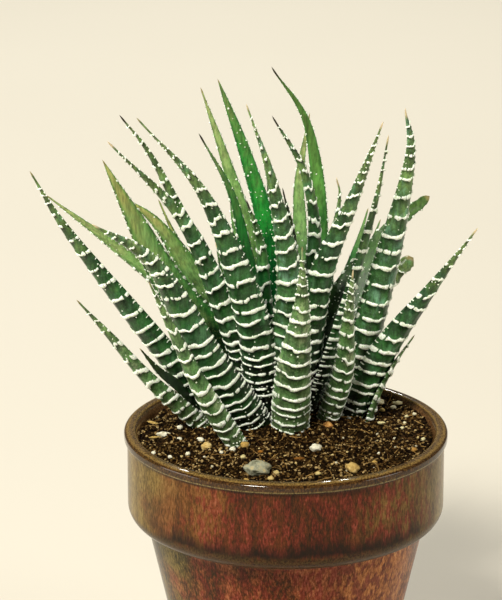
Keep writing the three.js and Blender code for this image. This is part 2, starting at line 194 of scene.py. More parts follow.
# Leaves: foot, two points on the way and tip of the middle line in mm, width, the compass
# direction that the outer side looks to, finish and tip.
leaves = {
    "inner_01": [(1, 16, 102), (2, 18, 114), (2, 18, 129), (-1, 18, 144), 4, 0, "shade", "dark"],
    "inner_02": [(-4, 17, 99), (-12, 20, 118), (-19.5, 20, 135), (-27, 20, 149), 4.5, -20, "fresh", "plain"],
    "inner_03": [(4, 17, 97), (10, 20, 113), (14.8, 19, 138.6), (14, 18, 147), 4.5, 10, "fresh", "dry"],
    "inner_04": [(-3, 12, 90), (-6, 10, 111), (-7, 8, 130), (-11, 6, 144), 6.5, -5, "young", "dark"],
    "inner_05": [(-4, 15, 90), (-10, 15, 118), (-15, 12, 143), (-24, 9, 162), 8, -130, "young", "dark"],
    "inner_06": [(3, 14, 90), (8, 11, 127), (5.3, 8, 150), (-4, 5, 168), 6, 20, "deep", "dark"],
    "inner_07": [(-2, 19, 90), (-5, 24, 127), (-11, 27, 150), (-19, 30, 172), 7.8, -165, "young", "plain"],
    "inner_08": [(3, 18, 90), (9.4, 26, 126), (6.7, 32.5, 156.6), (-4, 36, 174), 8, 165, "meadow", "dark"],
    "middle_01": [(-5, 17, 91), (-23.2, 24, 122), (-37, 25, 150), (-46.3, 25, 163),
                 9.5, -65, "olive", "dark"],
    "middle_02": [(1, 19, 93), (4, 34, 124), (4, 40, 140), (7, 46, 158), 6.6, 180, "pale", "plain"],
    "middle_03": [(-3, 20, 92), (-11.4, 33, 127), (-16.6, 38, 145), (-24, 44, 166),
                 7.5, -160, "pale", "plain"],
    "middle_04": [(-5, 19, 92), (-21, 28, 109), (-30, 31, 123), (-36, 34, 136), 5, -130, "olive", "plain"],
    "middle_05": [(-4, 8, 82), (1, -2, 118), (-3.8, -8, 152), (-11, -13, 176), 11.2, 0, "moss", "dry"],
    "middle_06": [(4, 10, 82), (9, 0, 121), (17.3, -7, 146), (25.5, -14, 171.5), 10.5, 15, "deep", "dry"],
    "middle_07": [(-6, 8, 81), (-10, -2, 113), (-22, -12, 149.5), (-40, -18, 173.5),
                 13, -15, "deep", "plain"],
    "middle_08": [(-6, 17, 86), (-25, 24, 114), (-36, 25, 131), (-45, 25, 139), 13, -130, "olive", "plain"],
    "middle_09": [(6, 18, 90), (20, 29, 113), (31, 33, 128.3), (41, 37, 136), 12.5, 150, "dusk", "plain"],
    "middle_10": [(-7, 11, 83), (-17.5, 2, 114), (-28.6, -6, 142), (-48, -14, 166), 10.5, -30, "deep", "dry"],
    "middle_11": [(7, 11, 82), (15, 6, 109), (24, 2, 143.7), (27.5, 0, 164), 8.5, 75, "deep", "dry"],
    "middle_12": [(-7, 14, 84), (-30.5, 9, 115), (-42.6, 3, 140.5), (-50, 0, 157),
                 14, -142, "olive", "plain"],
    "middle_13": [(-6, 19, 86), (-35, 31, 111), (-50, 35, 122.7), (-68, 38, 136), 8, -120, "pale", "plain"],
    "middle_14": [(6, 19, 85), (20, 24, 103), (28, 26, 113), (36.2, 28, 120.5), 9, 15, "deep", "plain"],
    "back_01": [(-4, 20, 84), (-19, 34, 96), (-27, 43, 112), (-34, 50, 126), 8, -140, "deep", "plain"],
    "back_02": [(-2, 21, 84), (-9, 40, 98), (-13, 50, 115), (-16, 58, 131), 8.5, -165, "fresh", "dry"],
    "back_03": [(2, 21, 84), (6, 42, 99), (8, 53, 117), (9, 60, 133), 8.5, 170, "deep", "dry"],
    "back_04": [(4, 20, 84), (17, 38, 98), (23, 48, 112), (28, 55, 124), 8, 145, "deep", "plain"],
    "back_05": [(-1, 21, 88), (-3, 33, 106), (-4, 42, 122), (-5, 48, 138), 7, 180, "deep", "dark"],
    "back_06": [(-5, 19, 86), (-16, 29, 103), (-24, 36, 119), (-30, 40, 134), 7.5, -130, "deep", "dry"],
    "back_07": [(5, 19, 86), (14, 31, 102), (20, 40, 117), (24, 46, 130), 7.5, 140, "fresh", "plain"],
    "outer_01": [(1, 1, 75), (2, -7, 99), (4, -13, 119), (4, -18, 138), 12.5, 0, "fresh", "plain"],
    "outer_02": [(13, 12, 77), (24.4, 8, 111), (33.4, 3.5, 154), (32, 2, 171), 11.3, 20, "moss", "dry"],
    "outer_03": [(-7, 5, 75), (-22, -7, 102), (-36, -16, 132), (-52, -24, 146), 13.2, -20, "deep", "dry"],
    "outer_04": [(11, 9, 75), (16, 2, 95), (17, -4, 112), (18, -10, 129), 7.8, 15, "fresh", "dry"],
    "outer_05": [(17, 14, 75), (28, 7, 100), (39.2, 2, 118.3), (52, -4, 139), 12.3, 35, "deep", "dry"],
    "outer_06": [(-16, 13, 75), (-34.4, 9, 99), (-59.3, 4.5, 134), (-70, 3, 153), 10.8, -45, "deep", "plain"],
    "outer_07": [(-21, 8, 75), (-37, -1, 93), (-48.8, -7, 109.4), (-57, -12, 121),
                 7.5, -40, "fresh", "plain"],
    "outer_08": [(-12, -7, 74), (-22, -14, 93), (-29, -19, 110), (-37, -24, 130), 7.8, -25, "fresh", "plain"],
    "outer_09": [(-22, 14, 76), (-28.6, 8, 87.5), (-35.4, 5, 94.6), (-40.6, 2, 102.4),
                 5, -120, "shade", "plain"],
    "outer_10": [(22.5, 12, 75), (25.7, 10, 86), (29.8, 8, 95), (35.8, 6, 105), 5, 80, "fresh", "plain"],
    "outer_11": [(-6, 24, 75), (-14, 44, 88), (-22, 57, 99), (-28, 66, 112), 8, -155, "deep", "dry"],
    "outer_12": [(2, 25, 75), (5, 47, 87), (8, 61, 97), (10, 72, 108), 8.5, 170, "fresh", "plain"],
    "outer_13": [(10, 24, 76), (20, 36, 86), (24, 44, 94), (27, 49, 100), 7, 145, "fresh", "dry"],
    "outer_14": [(-12, 22, 76), (-22, 30, 84), (-28, 36, 91), (-33, 40, 97), 6.5, -130, "fresh", "plain"],
    "outer_15": [(8, 23, 76), (14, 40, 88), (19, 52, 99), (22, 60, 111), 7.5, 160, "deep", "plain"],
    "outer_16": [(-9, 24, 76), (-20, 38, 87), (-28, 48, 97), (-34, 55, 108), 7.5, -145, "deep", "dry"],
    "outer_17": [(-1, 27, 75), (-3, 42, 83), (-5, 54, 91), (-6, 62, 100), 7.5, -175, "deep", "plain"],
    "outer_18": [(-4, 22, 77), (-10, 30, 92), (-16, 38, 108), (-20, 45, 120), 10, -155, "deep", "dry"],
    "outer_19": [(4, 22, 77), (8, 31, 92), (12, 39, 107), (14, 46, 120), 10, 155, "deep", "plain"],
    "outer_20": [(0, 23, 77), (0, 34, 90), (0, 44, 104), (1, 51, 118), 10.5, 180, "deep", "dry"],
}

# What sets a leaf apart: how fast it narrows, a blunt or torn end, dots on its inner side, how
# close its bands stand and where they shrink to beads.
leafSpecials = {
    "inner_04": {"dots": 0.5},
    "inner_05": {"slim": 1.3},
    "inner_07": {"dots": 0.45, "slim": 0.8},
    "inner_08": {"dots": 0.06, "slim": 1.1},
    "middle_05": {"slim": 1.4},
    "middle_06": {"beadsFrom": 0.78, "slim": 1.15},
    "middle_07": {"slim": 1.5},
    "middle_09": {"dots": 0.5, "torn": 0.15, "blunt": 0.28, "slim": 1.4},
    "middle_10": {"slim": 1.25},
    "middle_12": {"slim": 0.9},
    "middle_14": {"torn": 0.25, "beadsFrom": 0.95, "blunt": 0.45},
    "outer_01": {"pitch": 0.9, "beadsFrom": 0.8, "slim": 1.25},
    "outer_02": {"beadsFrom": 0.9, "slim": 0.9},
    "outer_03": {"pitch": 0.92, "beadsFrom": 0.78},
    "outer_04": {"pitch": 0.8},
    "outer_05": {"slim": 1.3},
}

leafShape = {
    "thickness": 0.42,  # share of the width
    "middleDepth": 0.4,  # share of the thickness that lies inside of the middle line
    "taperPower": 1.6,
    "footNarrowing": 0.22,
    "tipWidth": 0.5,
    "tipThickness": 0.45,
    "tipCone": 1.6,
    "columnEvery": 0.48,  # mm between the columns of the outer side
    "innerColumns": 9,
    "channel": 0.05,  # hollow of the inner side, as a share of the thickness
    "domePower": 2.3,
    "keelHeight": 0.06,
    "keelWidth": 0.16,
    "marginFrom": 0.93,  # share of the half width
}

bands = {
    "halfWidth": 0.7,
    "height": 0.5,
    "tooth": 0.34,
    "pitchAtFoot": 2.8,
    "pitchAlong": 5.1,
    "firstAt": {"inner": 0.14, "middle": 0.08, "back": 0.08, "outer": 0.04},
    "step": 1.25,  # mm that a band jumps where it crosses the keel
    "curl": 1.1,  # mm that its ends run along the margin
    "beadsFrom": 0.72,  # share of the length from which the bands shrink to beads
    "beadHalf": 0.6,  # mm
    "clearOfTip": 3.5,  # mm
    "closerAtTip": 0.42,
    "seed": 11,
    "whites": [(208, 218, 188), (244, 250, 238)],
}

# How the bands stray and break. Places and widths are shares of the leaf's half width.
bandFlaws = {
    "stepAt": 0.4,
    "stepSpread": 0.12,
    "stepWidth": 0.06,
    "kink": 0.22,  # mm
    "kinkWidth": 0.08,
    "wave": 0.08,  # mm
    "curlFrom": 0.7,
    "breaks": 0.7,  # in a band
    "breaksAtFoot": 2.6,  # more of them there
    "gap": (0.25, 0.5),  # mm
    "endBreaks": 0.4,  # share of the bands that break near the margin
    "endAt": (0.72, 0.9),
    "endWidth": 0.05,
}

# White dots: scatter (see scatterUnits), and how thickly they stand on each part of a leaf.
dots = {
    "scatter": (0.3, 0.72, 0.7, 0.85, 700000, 0),
    "seed": 5,
    "least": 0.04,
    "atFoot": 0.9,
    "towardTip": 0.08,
    "onMargin": 0.4,
    "onInside": 0.05,
    "insideMargin": 0.45,
}

# Colours toward the tip, in the middle and at the foot, the dark feet being painted shade between the
# leaves; patches of the outer side, partly blotches of the skin and partly painted sheen, and the
# margins of the inner side.
leafFinishes = {
    "deep": {"outside": [(90, 112, 60), (38, 80, 36), (12, 24, 9)], "blotchAndSheen": (70, 116, 76),
             "inside": [(82, 110, 56), (18, 108, 42), (4, 36, 14)], "margin": (6, 66, 24)},
    "moss": {"outside": [(98, 126, 68), (56, 98, 50), (18, 34, 12)], "blotchAndSheen": (100, 144, 116),
             "inside": [(100, 118, 64), (50, 118, 48), (6, 44, 18)], "margin": (16, 80, 32)},
    "fresh": {"outside": [(100, 130, 72), (74, 112, 60), (84, 108, 66)], "blotchAndSheen": (150, 168, 122),
              "inside": [(92, 126, 64), (48, 118, 50), (30, 80, 32)], "margin": (24, 90, 38)},
    "young": {"outside": [(80, 108, 58), (28, 96, 42), (8, 44, 20)], "blotchAndSheen": (64, 112, 56),
              "inside": [(98, 124, 66), (34, 134, 48), (0, 70, 24)], "margin": (6, 100, 36)},
    "olive": {"outside": [(96, 116, 62), (54, 90, 42), (18, 36, 12)], "blotchAndSheen": (84, 122, 62),
              "inside": [(150, 154, 86), (118, 158, 90), (6, 34, 12)], "margin": (56, 128, 54)},
    "pale": {"outside": [(118, 134, 88), (80, 114, 62), (30, 56, 24)], "blotchAndSheen": (112, 140, 82),
             "inside": [(146, 156, 98), (118, 156, 86), (36, 84, 34)], "margin": (72, 118, 54)},
    "meadow": {"outside": [(74, 98, 44), (62, 106, 48), (12, 56, 22)], "blotchAndSheen": (90, 132, 62),
               "inside": [(68, 92, 40), (86, 136, 60), (4, 88, 32)], "margin": (54, 112, 46)},
    "dusk": {"outside": [(90, 112, 60), (50, 84, 38), (14, 26, 10)], "blotchAndSheen": (76, 112, 52),
             "inside": [(70, 98, 42), (58, 96, 38), (14, 36, 12)], "margin": (46, 82, 34)},
    # "shade": a dark copy for leaves that sit in shadow, painted shadow
    "shade": {"outside": [(46, 62, 24), (20, 38, 12), (16, 26, 8)], "blotchAndSheen": (40, 60, 24),
              "inside": [(46, 62, 24), (16, 36, 12), (14, 26, 8)], "margin": (30, 50, 18)},
}

# Unevenness of the skin, in the order that leafMaterial takes it: scale, detail, roughness and how
# far it is drawn out along the leaf.
leafGrain = {
    "mottle": (170, 4, 0.62),
    "patches": (290, 3, 0.55, 0.6),
    "speckle": (2100, 3, 0.6),
    "streak": (1100, 3, 0.6, 0.18),
}

# Tips: colour, and mm that are withered.
tipFinishes = {
    "dry": {"colour": (198, 178, 140), "length": 3.2},
    "dark": {"colour": (44, 38, 26), "length": 5.0},
    "plain": {"colour": (134, 122, 78), "length": 2.0},
}


def leafMaterial(finish, tip):
    look = leafFinishes[finish]
    end = tipFinishes[tip]
    material, tree, shader = newMaterial(f"leaf {finish} {tip}")
    mottle, patches, speckle, streak = (grain(tree, *kind) for kind in leafGrain.values())
    share, onInside, across, under, fromTip, band = (
        readAttribute(tree, name) for name in ("share", "inside", "across", "under", "fromTip", "band")
    )
    share = swayed(tree, share, 0.12, mottle, 0.2, 0.8)

    def alongLeaf(colours, fromFoot, toMiddle):
        toTip, middle, foot = colours
        return colourRamp(tree, share, [(fromFoot, foot), (toMiddle, middle), (0.6, middle), (0.9, toTip)])

    outside = alongLeaf(look["outside"], 0.1, 0.34)
    # patches on the upper leaf: blotches of the skin, partly painted sheen
    blotchAndSheenMask = both(tree, spread(tree, patches, 0.5, 0.68, 0, 0.7), spread(tree, share, 0.12, 0.4))
    outside = mixed(tree, blotchAndSheenMask, outside, look["blotchAndSheen"])
    for value, low, high, toLow, toHigh in (
        (mottle, 0.3, 0.7, 0.5, 1.42),
        (streak, 0.34, 0.66, 0.66, 1.3),
        (speckle, 0.32, 0.5, 0.62, 1),
        # painted shade: the next value darkens the foot side of each band
        (under, 0, 1, 1, 0.42),  # darker on the foot side of each band
    ):
        outside = toned(tree, outside, spread(tree, value, low, high, toLow, toHigh))
    pale = spread(tree, speckle, 0.56, 0.72, 0, 0.42)
    outside = mixed(tree, pale, outside, look["blotchAndSheen"])
    inside = alongLeaf(look["inside"], 0.34, 0.58)
    inside = mixed(tree, spread(tree, across, 0.35, 0.95, 0, 0.7), inside, look["margin"])
    inside = toned(tree, inside, spread(tree, streak, 0.3, 0.7, 0.62, 1.32))
    inside = mixed(tree, pale, inside, look["inside"][0])
    green = mixed(tree, onInside, outside, inside)
    fromTip = swayed(tree, fromTip, 0.8, mottle, 0.2, 0.8)
    withered = spread(tree, fromTip, end["length"], end["length"] * 0.4)
    green = mixed(tree, withered, green, end["colour"])
    white = mixed(tree, spread(tree, speckle, 0.34, 0.56), *bands["whites"])
    isBand = spread(tree, swayed(tree, band, 0.12, speckle), 0.24, 0.44)
    skin = addBump(tree, speckle, 0.1, 0.7)
    setInputs(tree, shader, {
        "Base Color": mixed(tree, isBand, green, white),
        "Roughness": spread(tree, isBand, 0, 1, 0.36, 0.52),
        "Normal": addBump(tree, streak, 0.12, 0.5, skin),
        "Specular IOR Level": 0.26,
        "Coat Weight": spread(tree, onInside, 0, 1, 0.2, 0.02),
        "Coat Roughness": 0.28,
        "Subsurface Weight": 0.06,
        "Subsurface Radius": (0.4, 1, 0.3),
        "Subsurface Scale": 0.0012,
    })
    return material


leafKinds = sorted({tuple(row[6:8]) for row in leaves.values()})
leafMaterials = {kind: leafMaterial(*kind) for kind in leafKinds}


# The smooth line through a leaf's four points: places and directions by the share of its length.
class LeafLine:
    def __init__(self, points):
        points = np.array(points, dtype=float)
        before = 2 * points[0] - points[1]
        after = 2 * points[-1] - points[-2]
        self.points = np.vstack([before, points, after])
        self.steps = np.linspace(0, 1, 401)
        places, _ = self.at(self.steps)
        self.reach = np.concatenate([[0], np.cumsum(np.linalg.norm(np.diff(places, axis=0), axis=1))])
        self.length = self.reach[-1]

    def at(self, step):
        spans = len(self.points) - 3
        whole = np.minimum((step * spans).astype(int), spans - 1)
        t = (step * spans - whole)[..., None]
        p0, p1, p2, p3 = (self.points[whole + i] for i in range(4))
        m1 = (p2 - p0) / 2
        m2 = (p3 - p1) / 2
        c2 = 3 * (p2 - p1) - 2 * m1 - m2
        c3 = 2 * (p1 - p2) + m1 + m2
        direction = m1 + 2 * c2 * t + 3 * c3 * t**2
        direction = direction / np.linalg.norm(direction, axis=-1, keepdims=True)
        return p1 + m1 * t + c2 * t**2 + c3 * t**3, direction

    def byShare(self, share):
        return self.at(np.interp(share * self.length, self.reach, self.steps))


def taper(share, blunt=0, slim=1):
    narrowing = np.maximum(1 - (1 - blunt) * share ** leafShape["taperPower"], 0) ** slim
    return narrowing * (1 - leafShape["footNarrowing"] * (1 - share) ** 6)


def smoothStep(value, low, high):
    t = np.clip((value - low) / (high - low), 0, 1)
    return t * t * (3 - 2 * t)


def bandPlaces(whorl, length, pitchShare, draw):  # mm from the foot, and how far apart there
    places, pitches = [], []
    place = bands["firstAt"][whorl] * length
    while place < length - bands["clearOfTip"]:
        pitch = bands["pitchAtFoot"]
        pitch += (bands["pitchAlong"] - pitch) * smoothStep(place / length, 0.05, 0.5)
        pitch *= 1 - bands["closerAtTip"] * smoothStep(place / length, 0.66, 0.9)
        pitch *= pitchShare * draw.uniform(0.8, 1.2)
        places.append(place)
        pitches.append(pitch)
        place += pitch
    return np.array(places), np.array(pitches)


def bandPaths(pitches, across, draw):  # how far each band strays along the leaf, by column
    side = draw.choice([-1, 1])
    keel = draw.uniform(-bandFlaws["stepAt"], bandFlaws["stepAt"])
    curls = draw.uniform(-1, 1, 2)
    paths = np.zeros((len(pitches), len(across)))
    for band, pitch in enumerate(pitches):
        where = keel + draw.normal(0, bandFlaws["stepSpread"])
        step = bands["step"] / 2 * draw.uniform(0.2, 1.1) * side
        path = step * np.tanh((across - where) / bandFlaws["stepWidth"])
        kink = draw.normal(0, bandFlaws["kink"])
        path += kink * np.tanh((across - draw.uniform(-0.8, 0.8)) / bandFlaws["kinkWidth"])
        path += bandFlaws["wave"] * np.sin(draw.uniform(5, 10) * across + draw.uniform(0, 6))
        for curl, towardEnd in zip(curls, (-across, across)):
            path += curl * bands["curl"] * smoothStep(towardEnd, bandFlaws["curlFrom"], 1)
        paths[band] = path * min(1, pitch / bands["pitchAlong"])
    return paths


def bandBreaks(places, length, half, across, beadsFrom, draw):  # 1 where a band is whole, 0 in a break
    whole = np.ones((len(places), len(across)))
    for band, place in enumerate(places):
        share = np.array(place / length)
        towardFoot = smoothStep(share, 0.2, 0.05)
        halfHere = half * taper(share)
        for _ in range(draw.poisson(bandFlaws["breaks"] + bandFlaws["breaksAtFoot"] * towardFoot)):
            gap = draw.uniform(*bandFlaws["gap"]) / half
            whole[band] *= smoothStep(np.abs(across - draw.uniform(-0.9, 0.9)), gap * 0.5, gap * 1.5)
        if draw.random() < bandFlaws["endBreaks"]:
            fromBreak = (np.abs(across) - draw.uniform(*bandFlaws["endAt"])) / bandFlaws["endWidth"]
            whole[band] *= 1 - 0.9 * np.exp(-(fromBreak**2))
        whole[band] *= draw.uniform(0.85, 1.05)
        beadHalf = bands["beadHalf"] * draw.uniform(0.8, 1.3) / halfHere
        fromMiddle = np.abs(across - draw.uniform(-0.25, 0.25))
        bead = 1 - smoothStep(fromMiddle, beadHalf * 0.6, beadHalf * 1.3)
        bead = np.maximum(bead, np.abs(across) > 0.9)
        toBead = smoothStep(share, beadsFrom - 0.06, beadsFrom + 0.1) * draw.uniform(0.8, 1)
        whole[band] = whole[band] * (1 - toBead) + bead * toBead
    return np.clip(whole, 0, 1)


def lumps(count, columns, size, draw):  # smooth unevenness along each band
    rough = draw.normal(0, 1, (count, columns + 4))
    smooth = sum(weight * rough[:, i:i + columns] for i, weight in enumerate((1, 2, 3, 2, 1)))
    return 1 + size * smooth / 4.4


# Across a band: share of its half width, and how high it is there.
bandProfile = [(-1, 0), (-0.6, 0.66), (-0.2, 1), (0.2, 1), (0.6, 0.66), (1, 0)]


# Each ring of a leaf: mm along it, its place between the bands, share of a band's half width,
# how high it is raised as a band, and how far it stands out as a tooth of the margin.
def leafRings(places, length):
    rings = [(0, 0, 0, 0, 0), (places[0] / 2, 0, 0, 0, 0)]
    for band, place in enumerate(places):
        for offset, raised in bandProfile:
            rings.append((place, band, offset, raised, raised))
        if band + 1 < len(places):
            middle = (place + places[band + 1]) / 2
            for offset, tooth in ((-0.32, 0), (0, 0.7), (0.32, 0)):
                rings.append((middle + offset, band + 0.5, 0, 0, tooth))
    last = len(places) - 1
    start = places[-1] + 0.9
    cone = length - leafShape["tipCone"]
    for share in (0.35, 0.7, 1):
        rings.append((start + (cone - start) * share, last, 0, 0, 0))
    rings.append((length - leafShape["tipCone"] * 0.45, last, 0, 0, 0))
    return np.array(rings, dtype=float)


def leafColumns(width):  # places across a leaf, from -1 to 1: those of its outer side, then the inner
    outerCount = max(12, round(width / leafShape["columnEvery"]))
    even = np.linspace(-1, 1, outerCount + 1)
    outer = 0.5 * even + 0.5 * np.sin(even * math.pi / 2)
    inner = np.linspace(1, -1, leafShape["innerColumns"] + 2)[1:-1]
    isInner = np.concatenate([np.zeros(len(outer)), np.ones(len(inner))])
    return {"across": np.concatenate([outer, inner]), "isInner": isInner}


# Adds to a leaf's skin, for each point: mm along the leaf, how high it is raised as a band, how far
# it stands out as a tooth of the margin, and 1 on the foot side of a band.
def addBands(skin, whorl, width, length, special, draw):
    across, isInner = skin["across"], skin["isInner"]
    places, pitches = bandPlaces(whorl, length, special.get("pitch", 1), draw)
    beadsFrom = special.get("beadsFrom", bands["beadsFrom"])
    rings = leafRings(places, length)
    paths = bandPaths(pitches, across, draw)
    whole = bandBreaks(places, length, width / 2, across, beadsFrom, draw)
    slope = np.gradient(paths, axis=1) / np.maximum(np.abs(np.gradient(across)) * width / 2, 0.2)
    thickness = lumps(len(places), len(across), 0.2, draw) * np.minimum(np.sqrt(1 + slope**2), 1.4)
    thickness *= (np.minimum(1, pitches / 4) * (1 - 0.25 * smoothStep(places / length, 0.6, 0.9)))[:, None]
    whole = whole * np.clip(lumps(len(places), len(across), 0.1, draw), 0.7, 1.15)
    low = np.floor(rings[:, 1]).astype(int)
    high = np.minimum(low + 1, len(places) - 1)
    between = (rings[:, 1] - low)[:, None]
    strays = paths[low] * (1 - between) + paths[high] * between
    strays += rings[:, 2, None] * bands["halfWidth"] * thickness[low]
    fade = smoothStep(length - rings[:, 0], 1, 7) * smoothStep(rings[:, 0], 0, 3)
    skin["along"] = np.clip(rings[:, 0, None] + strays * fade[:, None], 0, length)
    skin["raised"] = rings[:, 3, None] * whole[low] * (1 - isInner)
    atMargin = np.abs(across) > leafShape["marginFrom"]
    skin["toothed"] = np.where(atMargin, rings[:, 4, None], 0) * (0.6 + 0.4 * whole[low])
    # 1 on the foot side of a band: the mask of the painted shade under each band
    skin["under"] = (rings[:, 2, None] == -1) * whole[low] * (1 - isInner)


def leafPoints(skin, line, width, faces, special, draw):
    across, along = skin["across"], skin["along"]
    share = along / line.length
    place, direction = line.byShare(share)
    angle = math.radians(faces)
    looks = np.array([math.sin(angle), -math.cos(angle), 0])
    sideways = np.cross(direction, looks)
    sideways /= np.linalg.norm(sideways, axis=-1, keepdims=True)
    outward = np.cross(sideways, direction)
    outward /= np.linalg.norm(outward, axis=-1, keepdims=True)

    size = taper(share, special.get("blunt", 0), special.get("slim", 1))
    size *= 1 + 0.02 * np.sin(along / 6.3 + draw.uniform(0, 6))
    torn = special.get("torn", 0) * smoothStep(share, 0.55, 0.95)
    size = size * (1 + torn * np.sin(along * 2.1 + across * 3) * np.cos(along * 0.9 - across * 2))
    nearTip = np.clip((line.length - along) / leafShape["tipCone"], 0, 1) ** 0.6
    half = np.maximum(width / 2 * size, leafShape["tipWidth"] / 2) * nearTip
    thick = np.maximum(leafShape["thickness"] * width * size, leafShape["tipThickness"]) * nearTip
    dome = (1 - np.abs(across) ** leafShape["domePower"]) ** 0.6
    fromKeel = (across - draw.uniform(-0.3, 0.3)) / leafShape["keelWidth"]
    keel = leafShape["keelHeight"] * np.exp(-(fromKeel**2))
    hollow = leafShape["channel"] * (1 - across**2)
    lift = np.where(skin["isInner"] > 0, hollow, dome + keel) - leafShape["middleDepth"]
    bandHeight = bands["height"] * skin["raised"] * np.minimum(1, 0.3 + dome)
    sideReach = across * half + bands["tooth"] * skin["toothed"] * np.sign(across)
    outReach = lift * thick + bandHeight
    position = place + sideways * sideReach[..., None] + outward * outReach[..., None]
    ends = [line.byShare(np.array(end))[0] for end in (0.0, 1.0)]
    return np.vstack([position.reshape(-1, 3), *ends])


def dotWeight(skin, share, special):
    fromMiddle = np.abs(skin["across"])
    crowded = dots["atFoot"] * smoothStep(share, 0.22, 0.08) + dots["least"]
    crowded += dots["towardTip"] * smoothStep(share, 0.5, 0.8)
    crowded = np.maximum(crowded, dots["onMargin"] * (fromMiddle > 0.9))
    onInner = np.where(fromMiddle > 0.72, dots["insideMargin"], special.get("dots", dots["onInside"]))
    return np.where(skin["isInner"] > 0, onInner, crowded) * (share < 0.95) * (1 - skin["raised"])


def addLeaf(name, row, index):
    points, (width, faces, finish, tip) = row[:4], row[4:8]
    special = leafSpecials.get(name, {})
    draw = np.random.default_rng(bands["seed"] + index)
    line = LeafLine(points)
    skin = leafColumns(width)
    addBands(skin, name.split("_")[0], width, line.length, special, draw)
    vertices = leafPoints(skin, line, width, faces, special, draw)
    along = skin["along"]
    share = along / line.length
    faceList = tubeFaces(*along.shape)

    def perPoint(values, atFoot=0, atTip=0):
        return np.concatenate([np.broadcast_to(values, along.shape).ravel(), [atFoot, atTip]])

    piece = addPiece("haworthiaLeaf_" + name, vertices, faceList, leafMaterials[finish, tip])
    for label, values in {
        "band": perPoint(np.maximum(skin["raised"], skin["toothed"])),
        # mask of the painted shade under the bands
        "under": perPoint(skin["under"]),
        "inside": perPoint(skin["isInner"]),
        "across": perPoint(np.abs(skin["across"])),
        "share": perPoint(share, atTip=1),
        "fromTip": perPoint(line.length - along, atFoot=line.length),
    }.items():
        addAttribute(piece, label, values)
    finishPiece(piece, "leaf", "leaf_" + name)
    return vertices, faceList, perPoint(dotWeight(skin, share, special))


leafSkins = [addLeaf(name, row, index) for index, (name, row) in enumerate(leaves.items())]
print("leaves made,", sum(2 * len(quads) for _, quads, _ in leafSkins), "triangles")


# Geometry nodes that scatter small lumps over a surface, thicker where its "scatter" value is high.
# A scatter row has these values in order: lengths in mm, and the density per square metre.
scatterUnits = {
    "Smallest": mm,
    "Largest": mm,
    "Flatness": 1.0,
    "Spacing": mm,
    "Density": 1.0,
    "Unevenness": mm,
}


def scatterTree(name, addShape):
    tree = bpy.data.node_groups.new(name, "GeometryNodeTree")
    sockets = {"Geometry": "Geometry", **dict.fromkeys(scatterUnits, "Float")}
    sockets |= {"Seed": "Int", "Finish": "Material"}
    for label, kind in sockets.items():
        tree.interface.new_socket(label, in_out="INPUT", socket_type="NodeSocket" + kind)
    tree.interface.new_socket("Geometry", in_out="OUTPUT", socket_type="NodeSocketGeometry")
    given = addNode(tree, "NodeGroupInput", {}).outputs

    def anyBetween(low, high, seed=0):
        inputs = {2: low, 3: high, "Seed": seed}
        return addNode(tree, "FunctionNodeRandomValue", inputs, data_type="FLOAT").outputs[1]

    weight = addNode(tree, "GeometryNodeInputNamedAttribute", {"Name": "scatter"}, data_type="FLOAT")
    places = addNode(tree, "GeometryNodeDistributePointsOnFaces", {
        "Mesh": given["Geometry"], "Distance Min": given["Spacing"], "Density Max": given["Density"],
        "Density Factor": weight.outputs[0], "Seed": given["Seed"],
    }, distribute_method="POISSON").outputs
    size = anyBetween(given["Smallest"], given["Largest"], given["Seed"])
    narrow = both(tree, size, anyBetween(0.65, 1.0))
    flat = both(tree, size, given["Flatness"])
    scale = addNode(tree, "ShaderNodeCombineXYZ", {"X": size, "Y": narrow, "Z": flat}).outputs[0]
    turn = addNode(tree, "ShaderNodeCombineXYZ", {"Z": anyBetween(0.0, 6.283)}).outputs[0]
    turned = addNode(tree, "FunctionNodeRotateRotation", {
        "Rotation": places["Rotation"], "Rotate By": turn,
    }, rotation_space="LOCAL").outputs[0]
    copies = addNode(tree, "GeometryNodeInstanceOnPoints", {
        "Points": places["Points"], "Instance": addShape(tree), "Rotation": turned, "Scale": scale,
    }).outputs[0]
    marked = addNode(tree, "GeometryNodeStoreNamedAttribute", {
        "Geometry": copies, "Name": "tone", "Value": anyBetween(0.0, 1.0),
    }, data_type="FLOAT", domain="INSTANCE").outputs[0]
    real = addNode(tree, "GeometryNodeRealizeInstances", {"Geometry": marked}).outputs[0]
    uneven = addNode(tree, "ShaderNodeTexNoise", {"Scale": 900.0, "Detail": 1.0}).outputs["Color"]
    centred = addNode(tree, "ShaderNodeVectorMath", {0: uneven, 1: (0.5, 0.5, 0.5)}, operation="SUBTRACT")
    pushed = addNode(tree, "ShaderNodeVectorMath", {
        0: centred.outputs[0], "Scale": given["Unevenness"],
    }, operation="SCALE").outputs[0]
    shaped = addNode(tree, "GeometryNodeSetPosition", {"Geometry": real, "Offset": pushed}).outputs[0]
    done = addNode(tree, "GeometryNodeSetMaterial", {"Geometry": shaped, "Material": given["Finish"]})
    addNode(tree, "NodeGroupOutput", {"Geometry": done.outputs[0]})
    return tree


def lumpShape(tree):  # a 20-sided lump of 1 m across, scaled by the tree
    return addNode(tree, "GeometryNodeMeshIcoSphere", {"Radius": 0.5, "Subdivisions": 1}).outputs["Mesh"]


def strand(tree, steps, thickness):  # a bent strand of 1 m across its ends
    bend = addNode(tree, "GeometryNodeCurveArc", {
        "Resolution": steps, "Radius": 0.7, "Start Angle": 0.6, "Sweep Angle": 1.6,
    }).outputs["Curve"]
    edge = addNode(tree, "GeometryNodeCurvePrimitiveCircle", {"Resolution": 4, "Radius": thickness})
    tube = addNode(tree, "GeometryNodeCurveToMesh", {
        "Curve": bend, "Profile Curve": edge.outputs["Curve"], "Fill Caps": True,
    }).outputs["Mesh"]
    inputs = {"Geometry": tube, "Translation": (-0.12, -0.6, 0.02)}
    return addNode(tree, "GeometryNodeTransform", inputs).outputs["Geometry"]


